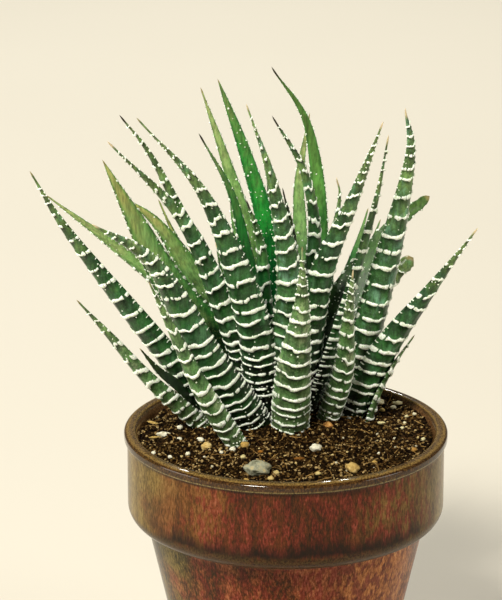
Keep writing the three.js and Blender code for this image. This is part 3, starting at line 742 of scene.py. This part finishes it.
def strandShape(tree):
    return strand(tree, 7, 0.022)


def strawShape(tree):
    return strand(tree, 4, 0.062)


lumpTree = scatterTree("scatterLumps", lumpShape)
strandTree = scatterTree("scatterStrands", strandShape)
strawTree = scatterTree("scatterStraws", strawShape)


def scatterOver(name, tree, vertices, faces, weights, kind, material):
    ground = addPiece(name + "Ground", vertices, faces, material)
    addAttribute(ground, "scatter", weights)
    modifier = ground.modifiers.new("scatter", "NODES")
    modifier.node_group = tree
    values = {"Seed": kind["seed"], "Finish": material}
    for (label, unit), value in zip(scatterUnits.items(), kind["scatter"]):
        values[label] = value * unit
    for item in tree.interface.items_tree:
        if item.in_out == "INPUT" and item.name in values:
            modifier[item.identifier] = values[item.name]
    seen = ground.evaluated_get(bpy.context.evaluated_depsgraph_get())
    mesh = bpy.data.meshes.new_from_object(seen)
    mesh.name = name
    bpy.data.objects.remove(ground)
    return newObject(name, mesh)


def dotMaterial():
    material, tree, shader = newMaterial("tubercle white")
    colour = mixed(tree, readAttribute(tree, "tone"), (200, 210, 180), (240, 246, 232))
    stain = spread(tree, grain(tree, 700), 0.55, 0.75, 0, 0.5)
    colour = mixed(tree, stain, colour, (150, 168, 120))
    setInputs(tree, shader, {"Base Color": colour, "Roughness": 0.55})
    return material


def addDots():
    vertices, faces, weights, shift = [], [], [], 0
    for skin, quads, weight in leafSkins:
        vertices.append(skin)
        weights.append(weight)
        faces.extend(tuple(corner + shift for corner in quad) for quad in quads)
        shift += len(skin)
    skins, weights = np.vstack(vertices), np.concatenate(weights)
    piece = scatterOver("leafTubercles", lumpTree, skins, faces, weights, dots, dotMaterial())
    piece.data.shade_smooth()
    finishPiece(piece, "leaf")
    print("leaf dots made,", len(piece.data.polygons), "triangles")


addDots()


# Pot: the same turned shape as the solid, with every rounding drawn out.
pot = {
    "rimRadius": 45,
    "height": 80,
    "baseRadius": 27,
    "lipHeight": 2.7,
    "lipWidth": 4.4,
    "lipRounding": 1.1,
    "lipSlope": 2.2,
    "bandInset": 0.9,
    "bandBottom": 53.8,
    "bandRounding": 4.9,
    "wall": 3.2,
    "floor": 6,
    "innerDraft": 0.6,
    "edge": 0.8,
    "undercut": [(-0.45, -1.2), (-0.2, -0.45), (0.3, -0.05)],  # from the shoulder: outward, upward
    "lipFoot": [(0, -0.5), (0.1, -0.12)],  # from the band's top: outward, upward
    "sides": 224,
    "wobble": 0.06,
}
bandRadius = pot["rimRadius"] - pot["bandInset"]
shoulderRadius = bandRadius - pot["bandRounding"]
innerRadius = pot["rimRadius"] - pot["lipWidth"]


def arc(centre, radii, fromAngle, toAngle, steps):
    angles = np.radians(np.linspace(fromAngle, toAngle, steps + 1))
    return [(centre[0] + radii[0] * math.cos(a), centre[1] + radii[1] * math.sin(a)) for a in angles]


def insideProfile(gap):
    return [
        (innerRadius - gap, pot["height"] - pot["lipWidth"]),
        (innerRadius - pot["innerDraft"] - gap, pot["bandBottom"] + pot["bandRounding"]),
        (shoulderRadius - pot["wall"] - gap, pot["bandBottom"]),
        (pot["baseRadius"] - pot["wall"] - gap, pot["floor"] + gap),
        (0, pot["floor"] + gap),
    ]


def lathe(profile, sides, wobble=0.0):  # a closed turned skin; the profile's ends are on the axis
    ring = profile[1:-1]
    angles = np.arange(sides) * 2 * math.pi / sides
    radii = np.array([p[0] for p in ring])[:, None]
    heights = np.array([p[1] for p in ring])[:, None] + 0 * angles
    radii = radii + wobble * (np.sin(2 * angles + 1 + heights / 40) + 0.5 * np.sin(5 * angles + heights / 15))
    rows = np.stack([radii * np.cos(angles), radii * np.sin(angles), heights], axis=-1)
    points = np.vstack([rows.reshape(-1, 3), (0, 0, profile[0][1]), (0, 0, profile[-1][1])])
    faces = tubeFaces(len(ring), sides)
    return points, faces


def drawnOut(profile, longest):  # more points on a profile's long straight stretches
    fine = [profile[0]]
    for (r0, z0), (r1, z1) in zip(profile, profile[1:]):
        steps = max(1, math.ceil(math.hypot(r1 - r0, z1 - z0) / longest))
        fine += [(r0 + (r1 - r0) * i / steps, z0 + (z1 - z0) * i / steps) for i in range(1, steps + 1)]
    return fine


# Glaze: colours by the depth of its streaks, for the front and the sides of the band and the body.
glaze = {
    # band: darker near the middle, lighter and olive to the left and right, partly painted reflection
    "bandFront": [(0.34, (40, 22, 3)), (0.46, (62, 30, 6)), (0.56, (82, 38, 12)), (0.68, (100, 48, 22)),
                  (0.8, (122, 68, 38))],
    "bandFlank": [(0.34, (60, 38, 8)), (0.46, (86, 52, 16)), (0.58, (108, 66, 28)), (0.72, (130, 88, 46))],
    "bandSide": [(0.35, (80, 63, 22)), (0.55, (122, 98, 46)), (0.75, (150, 130, 74))],
    "bodyFront": [(0.34, (44, 28, 6)), (0.45, (82, 42, 15)), (0.57, (124, 64, 34)), (0.72, (166, 100, 66))],
    "bodyLeft": [(0.36, (34, 29, 6)), (0.5, (82, 68, 26)), (0.66, (126, 106, 52))],
    "bodyRight": [(0.34, (108, 58, 20)), (0.5, (160, 96, 46)), (0.7, (200, 138, 82))],
    "rose": [(0.34, (58, 20, 6)), (0.5, (94, 34, 17)), (0.64, (126, 52, 38)), (0.78, (154, 82, 66))],
    "lip": [(0.34, (26, 15, 4)), (0.5, (54, 34, 11)), (0.68, (92, 64, 28))],
    "crest": [(0.36, (66, 46, 17)), (0.6, (140, 112, 60))],
    "break": [(0.36, (80, 64, 30)), (0.62, (146, 128, 76))],
    "underBand": [(0.36, (32, 20, 6)), (0.62, (80, 61, 29))],
    "inner": [(0.36, (66, 43, 22)), (0.62, (118, 84, 52))],
    # dark belt above the band's lower edge: pooled glaze, partly painted dark reflection
    "pool": (15, 8, 3),
    "clay": [(120, 84, 60), (168, 126, 94)],
    "grain": {  # as leafGrain, in the order that glazeMaterial takes it
        "streaks": (2000, 4, 0.66, 0.3),
        "blush": (620, 3, 0.6, 0.4),
        "runs": (150, 3, 0.55, 0.22),
        "clouds": (60, 3, 0.55),
        "flecks": (2300, 2, 0.6, 0.6),
    },
    "across": {  # mm to the side over which a look comes in
        "flank": (16, 27),
        "side": (34, 46),
        "rightSide": (18, 34),
        "bodyLeft": (-16, -34),
        "bodyRight": (8, 30),
        "rose": (40, 22),
        "pool": (41, 30),
    },
    # the middle of the dark part of the band, which is partly painted reflection
    "darkReflectionMiddle": 7,  # mm to the right
    "drift": 8,  # mm that the looks wander sideways
    "ragged": 1.3,  # mm that the edges of the pooled glaze and painted dark reflection wander
    "strayed": 0.09,
    "poolAndReflectionDepth": 0.86,
    "upward": {  # mm of height over which a look comes in, and goes again
        "band": (53.7, 54.3),
        "underBand": (59.2, 57),
        "pool": (56.6, 58.8, 63.6),
        "lip": (76.2, 77.2),
        "thickCoat": (76.5, 77.5),
        "insideWall": (60, 62),
        "bare": (2.0, 1.2),
    },
    "inward": (41.9, 41.1),  # mm from the axis over which the inside's look comes in
    "lines": {  # heights in mm over which a line shows: from, full, to
        "shoulder": (53.2, 53.8, 54.6),
        "break": (77.0, 77.5, 77.9),
        "crest": (79.5, 79.8, 80.1),
    },
}


def glazeMaterial():
    material, tree, shader = newMaterial("oxblood glaze")
    point = objectPoint(tree, (1000, 1000, 1000))  # in mm
    place = addNode(tree, "ShaderNodeSeparateXYZ", {"Vector": point}).outputs
    height = place["Z"]
    level = addNode(tree, "ShaderNodeCombineXYZ", {"X": place["X"], "Y": place["Y"]}).outputs[0]
    radius = addNode(tree, "ShaderNodeVectorMath", {0: level}, operation="LENGTH").outputs["Value"]
    streaks, blush, runs, clouds, flecks = (grain(tree, *kind) for kind in glaze["grain"].values())
    strayed = swayed(tree, streaks, glaze["strayed"], runs)
    drift = swayed(tree, place["X"], glaze["drift"], clouds, 0.25, 0.75)
    outward = combined(tree, "ABSOLUTE", drift, 0)
    offMiddle = combined(tree, "ABSOLUTE", combined(tree, "SUBTRACT", drift, glaze["darkReflectionMiddle"]), 0)

    def look(name, factor):
        return colourRamp(tree, factor, glaze[name])

    def over(colour, where, name, factor=flecks):
        return mixed(tree, where, colour, look(name, factor))

    def across(value, name, *levels):
        return spread(tree, value, *glaze["across"][name], *levels)

    def upward(name, *levels):
        return spread(tree, height, *glaze["upward"][name], *levels)

    def between(value, low, full, high):
        return both(tree, spread(tree, value, low, full), spread(tree, value, high, full))

    # band colours across: partly the glaze's own colour, partly painted reflection
    band = over(look("bandFront", strayed), across(offMiddle, "flank"), "bandFlank", strayed)
    band = over(band, across(outward, "side"), "bandSide", strayed)
    band = over(band, across(drift, "rightSide", 0, 0.5), "bandSide", strayed)
    body = over(look("bodyFront", strayed), across(drift, "bodyLeft"), "bodyLeft", strayed)
    body = over(body, across(drift, "bodyRight"), "bodyRight", strayed)
    onBand = upward("band")
    colour = mixed(tree, onBand, body, band)
    rosy = both(tree, spread(tree, blush, 0.43, 0.57, 0, 0.85), across(offMiddle, "rose"))
    colour = over(colour, rosy, "rose", strayed)
    colour = toned(tree, colour, spread(tree, flecks, 0.3, 0.42, 0.6, 1))
    ragged = swayed(tree, height, glaze["ragged"], runs)
    # a dark belt above the band's lower edge: pooled glaze, partly painted dark reflection
    pooledAndReflected = both(tree, between(ragged, *glaze["upward"]["pool"]), across(outward, "pool"))
    colour = mixed(tree, both(tree, pooledAndReflected, glaze["poolAndReflectionDepth"]), colour, glaze["pool"])
    colour = over(colour, both(tree, upward("underBand", 0, 0.8), onBand), "underBand")
    colour = over(colour, upward("lip", 0, 0.94), "lip")
    for name, ramp in (("shoulder", "break"), ("break", "break"), ("crest", "crest")):
        colour = over(colour, between(height, *glaze["lines"][name]), ramp)
    colour = over(colour, both(tree, spread(tree, radius, *glaze["inward"]), upward("insideWall")), "inner")
    bare = upward("bare")
    clay = mixed(tree, flecks, *glaze["clay"])
    skin = addBump(tree, streaks, 0.04, 0.35)
    setInputs(tree, shader, {
        "Base Color": mixed(tree, bare, colour, clay),
        "Roughness": spread(tree, bare, 0, 1, 0.4, 0.85),
        "Normal": addBump(tree, grain(tree, 260), 0.2, 0.3, skin),
        "Specular IOR Level": 0.02,
        "Coat Weight": both(tree, spread(tree, bare, 1, 0), upward("thickCoat", 0.56, 1)),
        "Coat Roughness": 0.09,
        "Coat IOR": 1.38,
        "Coat Normal": addBump(tree, grain(tree, 150), 0.16, 0.35),
    })
    return material


def addPot():
    rim, height, edge = pot["rimRadius"], pot["height"], pot["edge"]
    lip, bottom, rounding = height - pot["lipHeight"], pot["bandBottom"], pot["bandRounding"]
    outside = [
        (0, 0),
        *arc((pot["baseRadius"] - edge, edge), (edge, edge), -90, -10, 6),
        *[(shoulderRadius + out, bottom + up) for out, up in pot["undercut"]],
        *arc((shoulderRadius, bottom + rounding), (rounding, rounding), -78, 0, 20),
        *[(bandRadius + out, lip + up) for out, up in pot["lipFoot"]],
        (rim - 0.35, lip),
        *arc((rim - 0.4, lip + 0.4), (0.4, 0.4), -60, 0, 4),
        *arc((innerRadius + pot["lipSlope"], height - pot["lipRounding"]),
             (pot["lipWidth"] - pot["lipSlope"], pot["lipRounding"]), 0, 90, 16),
        *arc((innerRadius + pot["lipSlope"], lip + pot["lipHeight"] - pot["lipWidth"]),
             (pot["lipSlope"], pot["lipWidth"]), 90, 172, 16),
    ]
    points, faces = lathe(drawnOut(outside + insideProfile(0), 1.2), pot["sides"], pot["wobble"])
    piece = addPiece("glazedPot", points, faces, glazeMaterial())
    finishPiece(piece, "glaze", "pot")
    print("pot made,", len(faces) * 2, "triangles")


addPot()


# Soil: the solid's mound and bank with fine unevenness, and crumbs and fibres scattered on it.
soil = {
    "belowRim": 3.2,
    "moundHeight": 3.4,
    "moundSpread": 15,
    "bankHeight": 1.6,
    "bankAngle": 50,
    "roughness": 0.35,
    "grainHeight": 0.55,
    "plantAt": (0, 15),
    "gap": 0.3,  # mm beside and below
    "topGap": 0.1,
    "rings": 78,
    "sides": 200,
    "stops": [(0.3, (5, 3, 1)), (0.5, (22, 14, 6)), (0.6, (52, 37, 17)), (0.7, (100, 77, 40)),
              (0.8, (150, 122, 72))],
    "dark": (14, 9, 6),
}


def soilHeight(x, y):
    fromPlant = math.hypot(x, y - soil["plantAt"][1] + 6) / soil["moundSpread"]
    mound = soil["moundHeight"] * math.exp(-(fromPlant**2) / 2)
    angle = math.radians(soil["bankAngle"])
    out = (x * math.sin(angle) + y * math.cos(angle)) / innerRadius
    bank = soil["bankHeight"] * max(0, out) ** 2
    rough = soil["roughness"] * (math.sin(1.3 * x + 0.7 * y) + math.sin(1.1 * y - 0.6 * x + 2))
    return pot["height"] - soil["belowRim"] + mound + bank + rough


def soilSurface(x, y):  # with the grain of the mix
    grainAt = noise.fractal(Vector((x * 0.55, y * 0.55, 3)), 0.9, 2.1, 4)
    return soilHeight(x, y) + soil["grainHeight"] * grainAt


def soilMaterial():
    material, tree, shader = newMaterial("potting mix")
    bits = grain(tree, 1100, 3, 0.65)
    patches = spread(tree, grain(tree, 220, 3, 0.6), 0.4, 0.7, 0, 0.6)
    colour = colourRamp(tree, bits, soil["stops"])
    setInputs(tree, shader, {
        "Base Color": mixed(tree, patches, colour, soil["dark"]),
        "Roughness": 1,
        "Normal": addBump(tree, bits, 0.5, 0.8),
        "Specular IOR Level": 0.02,
    })
    return material


def crumbMaterial(name, stops, rough):
    material, tree, shader = newMaterial(name)
    colour = colourRamp(tree, readAttribute(tree, "tone"), stops)
    fine = grain(tree, 2600, 2, 0.6)
    colour = mixed(tree, spread(tree, fine, 0.45, 0.7, 0, 0.55), colour, stops[0][1])
    setInputs(tree, shader, {
        "Base Color": colour,
        "Roughness": rough,
        "Normal": addBump(tree, fine, 0.15, 0.6),
        "Specular IOR Level": 0.04,
    })
    return material


# What lies on the mix: shape, slot, roughness, colours from dark to light, and a scatter row.
crumbs = {
    "soilCrumbs": {
        "tree": lumpTree, "slot": "soil", "rough": 0.9, "smooth": False,
        "stops": [(0, (4, 1, 0)), (0.36, (20, 10, 2)), (0.58, (56, 38, 14)), (0.76, (106, 80, 42)),
                  (0.94, (172, 146, 98))],
        "scatter": (0.3, 1.05, 0.8, 0.64, 2600000, 0.5), "seed": 21,
    },
    "soilGrit": {
        "tree": lumpTree, "slot": "tan_stone", "rough": 0.8, "smooth": False,
        "stops": [(0, (104, 80, 42)), (0.5, (168, 138, 80)), (1, (206, 186, 132))],
        "scatter": (0.3, 1, 0.7, 1.7, 110000, 0.3), "seed": 8,
    },
    "soilPerlite": {
        "tree": lumpTree, "slot": "perlite", "rough": 0.85, "smooth": True,
        "stops": [(0, (150, 140, 112)), (0.5, (200, 192, 164)), (1, (232, 228, 208))],
        "scatter": (0.35, 1.15, 0.75, 5, 9000, 0.3), "seed": 3,
    },
    "soilStraws": {
        "tree": strawTree, "slot": "bark", "rough": 0.8, "smooth": True,
        "stops": [(0, (14, 7, 2)), (0.45, (48, 31, 12)), (0.8, (96, 70, 34)), (1, (168, 138, 84))],
        "scatter": (0.7, 2.3, 1, 1.1, 500000, 0.5), "seed": 29,
    },
    "soilFibres": {
        "tree": strandTree, "slot": "bark", "rough": 0.8, "smooth": True,
        "stops": [(0, (30, 17, 7)), (0.5, (78, 50, 23)), (1, (166, 130, 74))],
        "scatter": (2, 6, 1, 1.5, 100000, 0.9), "seed": 17,
    },
}


def aroundPot(radius):  # places in a ring, in mm
    turns = [side * 2 * math.pi / soil["sides"] for side in range(soil["sides"])]
    return [(radius * math.cos(turn), radius * math.sin(turn)) for turn in turns]


def addSoil():
    wall = innerRadius - soil["topGap"]
    radii = [wall * (1 - ring / soil["rings"]) for ring in range(soil["rings"])]
    surface = [(x, y, soilSurface(x, y)) for radius in radii for x, y in aroundPot(radius)]
    below = insideProfile(soil["gap"])[::-1]
    under = [(x, y, z) for radius, z in below[1:] for x, y in aroundPot(radius)]
    points = under + surface + [(0, 0, below[0][1]), (0, 0, soilSurface(0, 0))]
    faces = tubeFaces((len(under) + len(surface)) // soil["sides"], soil["sides"])
    piece = addPiece("pottingMix", points, faces, soilMaterial())
    finishPiece(piece, "soil", "soil")
    topFaces = [face for face in faces if min(face) >= len(under)]
    for name, kind in crumbs.items():
        weights = np.ones(len(points))
        material = crumbMaterial(name, kind["stops"], kind["rough"])
        piece = scatterOver(name, kind["tree"], points, topFaces, weights, kind, material)
        shade = piece.data.shade_smooth if kind["smooth"] else piece.data.shade_flat
        shade()
        finishPiece(piece, kind["slot"])
        print(name, "made,", len(piece.data.polygons), "faces")


addSoil()


# Stones, perlite and bark that lie in the mix: place, size, turn, finish.
perliteColours = ((164, 154, 122), (212, 206, 182), (234, 230, 208))
stones = {
    "stone_grey": {"at": (-8, -28), "size": (7.5, 6, 4), "turn": 15, "slot": "grey_stone",
                   "colours": ((96, 96, 72), (150, 150, 126), (184, 166, 116))},
    "stone_tan": {"at": (17.7, -25.5), "size": (4.2, 3.4, 3), "turn": -30, "slot": "tan_stone",
                  "colours": ((134, 104, 50), (180, 148, 80), (206, 180, 116))},
    "stone_buff": {"at": (-22, -10.5), "size": (3, 2.8, 2.6), "turn": 10, "slot": "tan_stone",
                   "colours": ((146, 116, 58), (188, 156, 88), (212, 188, 126))},
    "perlite_front": {"at": (8, -13.5), "size": (3.4, 2.6, 2.2), "turn": 20, "slot": "perlite",
                      "colours": perliteColours},
    "perlite_left": {"at": (-34, 1), "size": (4.2, 1.8, 1.8), "turn": -10, "slot": "perlite",
                     "colours": perliteColours},
    "perlite_back": {"at": (27, 23), "size": (3, 2.2, 2), "turn": 40, "slot": "perlite",
                     "colours": ((190, 180, 140), (222, 212, 170), (240, 234, 200))},
    "bark_chip": {"at": (11.7, 3.5), "size": (3.4, 2.4, 2.2), "turn": -50, "slot": "bark",
                  "colours": ((104, 64, 22), (178, 124, 56), (212, 166, 96))},
}
stoneShape = {"fineness": 5, "lift": 0.15, "waves": 0.08, "lumps": 0.07, "creases": 0.05}


def ballSkin(fineness):  # a ball of 1 across
    shape = bmesh.new()
    bmesh.ops.create_icosphere(shape, subdivisions=fineness, radius=0.5)
    shape.verts.index_update()
    points = [vertex.co.copy() for vertex in shape.verts]
    triangles = [tuple(vertex.index for vertex in face.verts) for face in shape.faces]
    shape.free()
    return points, triangles


def stoneMaterial(name, colours):
    material, tree, shader = newMaterial(name)
    large = grain(tree, 640, 4, 0.65)
    small = grain(tree, 2400, 3, 0.7)
    colour = colourRamp(tree, large, list(zip((0.36, 0.52, 0.68), colours)))
    dark = [channel * 0.55 for channel in colours[0]]
    setInputs(tree, shader, {
        "Base Color": mixed(tree, spread(tree, small, 0.55, 0.72, 0, 0.5), colour, dark),
        "Roughness": 0.85,
        "Normal": addBump(tree, small, 0.3, 0.8),
    })
    return material


def addStone(name, stone):
    x, y = stone["at"]
    offset = Vector((x, y, soilHeight(x, y) + stoneShape["lift"] * stone["size"][2]))
    turn = Matrix.Rotation(math.radians(stone["turn"]), 3, "Z")
    ball, triangles = ballSkin(stoneShape["fineness"])
    points = []
    for p in ball:
        dent = 1 - stoneShape["waves"] * math.sin(7 * p.x + 5 * p.y + 9 * p.z)
        dent += stoneShape["lumps"] * noise.fractal(p * 3.2 + offset, 0.8, 2, 4)
        dent -= stoneShape["creases"] * abs(noise.noise(p * 5 + offset))
        points.append(turn @ Vector([p[i] * dent * stone["size"][i] for i in range(3)]) + offset)
    piece = addPiece("fine_" + name, points, triangles, stoneMaterial(name + " finish", stone["colours"]))
    finishPiece(piece, stone["slot"], name)


for name, stone in stones.items():
    addStone(name, stone)
print("stones made")


# Small light bits of perlite, grit and straw that catch the eye: x, y, length, width, tone.
bits = {
    "places": [
        (-14.7, -12.1, 2.6, 1.7, 0.95), (-11.4, -12.1, 2.7, 2.2, 0.3), (-11.9, -19.2, 1.6, 1.4, 0.62),
        (-17.8, -13, 1.3, 1.1, 0.95), (-11, -34.6, 1.6, 1.3, 0.3), (-4.4, -33.4, 1.9, 1.4, 0.45),
        (-6.4, -37, 1.7, 1.3, 0.4), (-2.8, -30.2, 2.1, 1.5, 0.5), (-7.2, -14.7, 1.5, 1.2, 0.14),
        (3.4, -18.3, 3.4, 1.3, 0.06), (-29.5, 4.9, 1.8, 1.6, 0.9), (-29.5, -2.2, 1.7, 1.4, 0.9),
        (-23.7, -4, 1.6, 2.6, 0.95), (-27, -14.7, 1.7, 1.3, 0.85), (-36.5, -14, 1.5, 1.3, 0.95),
        (-31.8, -18.3, 1.3, 1.1, 0.9), (-37.4, 9, 3.8, 0.9, 0.36), (-36.6, -3, 3.2, 0.7, 0.36),
        (32, 21.5, 3, 1.5, 0.7), (30.6, 17, 1.7, 1.4, 0.8), (27.4, 15.4, 1.6, 1.3, 0.4),
        (26.8, 6.5, 2.3, 1, 0.66), (36.4, 13, 1.4, 1.1, 0.8), (34, 11, 1.3, 1.1, 0.7),
        (33.4, 8, 1.3, 1, 0.75), (32.6, 3.5, 1.2, 1, 0.7), (38, -4.9, 1.4, 1.2, 0.7),
        (35.2, -11.8, 2.2, 1.6, 0.22), (8.4, -31, 1.6, 1.2, 0.5), (24, -20, 1.5, 1.1, 0.3),
    ],
    "stops": [(0, (84, 52, 22)), (0.15, (150, 100, 40)), (0.35, (186, 156, 88)), (0.65, (208, 196, 142)),
              (0.9, (230, 226, 202))],
    "seed": 4,
    "fineness": 2,
    "dents": 0.12,
    "thickness": 0.8,
    "lift": 0.35,
}


def addBits():
    draw = np.random.default_rng(bits["seed"])
    ball, triangles = ballSkin(bits["fineness"])
    points, faces, tones = [], [], []
    for x, y, long, wide, tone in bits["places"]:
        dents = 1 + bits["dents"] * draw.normal(0, 1, (len(ball), 1))
        shaped = np.array(ball) * dents * (long, wide, bits["thickness"] * min(long, wide))
        turn = draw.uniform(0, math.pi)
        spun = shaped @ np.array([
            (math.cos(turn), math.sin(turn), 0), (-math.sin(turn), math.cos(turn), 0), (0, 0, 1),
        ])
        faces += [tuple(corner + len(points) * len(ball) for corner in face) for face in triangles]
        points.append(spun + (x, y, soilHeight(x, y) + bits["lift"] + 0.15 * wide))
        tones += [tone] * len(ball)
    material = crumbMaterial("light bits", bits["stops"], 0.8)
    piece = addPiece("soilBits", np.vstack(points), faces, material)
    addAttribute(piece, "tone", tones)
    finishPiece(piece, "perlite")
    print("bits made,", len(faces), "triangles")


addBits()


# The stem shows only as a shadow between the leaf feet: its solid stays, with a bark-like skin.
stemColours = [(0.35, (34, 40, 20)), (0.55, (70, 82, 40)), (0.7, (104, 104, 60))]


def stemMaterial():
    material, tree, shader = newMaterial("stem skin")
    rings = grain(tree, 150, 3, 0.6, 10 / 3)
    setInputs(tree, shader, {
        "Base Color": colourRamp(tree, rings, stemColours),
        "Roughness": 0.75,
        "Normal": addBump(tree, rings, 0.4, 0.6),
    })
    return material


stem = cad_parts["stem"]
stem.data.materials.clear()
stem.data.materials.append(stemMaterial())


# Plain pale floor and soft studio light.
floorLook = {"colour": (208, 201, 187), "size": 16}
lights = {
    "key": {"at": (-0.45, -0.85, 1.25), "size": (0.32, 0.32), "power": 27, "colour": (1, 0.97, 0.88)},
    "left": {"at": (-1.3, -0.2, 0.55), "size": (0.8, 0.8), "power": 8, "colour": (1, 0.98, 0.93)},
    "right": {"at": (1.3, -0.4, 0.7), "size": (0.8, 0.8), "power": 7, "colour": (1, 0.97, 0.9)},
    "backLeft": {"at": (-0.16, 1.2, 1.1), "size": (0.28, 0.12), "power": 9, "colour": (1, 1, 0.94)},
    "backRight": {"at": (0.12, 1.2, 1.1), "size": (0.18, 0.12), "power": 6, "colour": (1, 1, 0.94)},
}
lampAim = (0, 0, 0.09)  # the middle of the part
worldLight = {"colour": (228, 226, 214), "strength": 0.14}


def addFloor():
    half = floorLook["size"] / 2 / mm
    points = [(-half, -half, 0), (half, -half, 0), (half, half, 0), (-half, half, 0)]
    material, tree, shader = newMaterial("studio floor")
    base = floorLook["colour"]
    colour = mixed(tree, grain(tree, 3, 3), base, [channel - 6 for channel in base])
    setInputs(tree, shader, {"Base Color": colour, "Roughness": 0.8})
    floor = addPiece("studioFloor", points, [(0, 1, 2, 3)], material)


def addLight(name, light):
    lamp = bpy.data.lights.new(name, "AREA")
    lamp.shape = "ELLIPSE"
    lamp.size, lamp.size_y = light["size"]
    lamp.energy = light["power"]
    lamp.color = light["colour"]
    lampObject = newObject(name, lamp)
    lampObject.location = light["at"]
    toward = Vector(lampAim) - Vector(light["at"])
    lampObject.rotation_euler = toward.to_track_quat("-Z", "Y").to_euler()


def addWorld():
    world = bpy.data.worlds.new("studio")
    world.use_nodes = True
    background = world.node_tree.nodes["Background"]
    background.inputs["Color"].default_value = rgb(*worldLight["colour"])
    background.inputs["Strength"].default_value = worldLight["strength"]
    bpy.context.scene.world = world


bpy.context.scene.view_settings.view_transform = "Standard"
addFloor()
for name, light in lights.items():
    addLight(name, light)
addWorld()
print("floor and lights set")
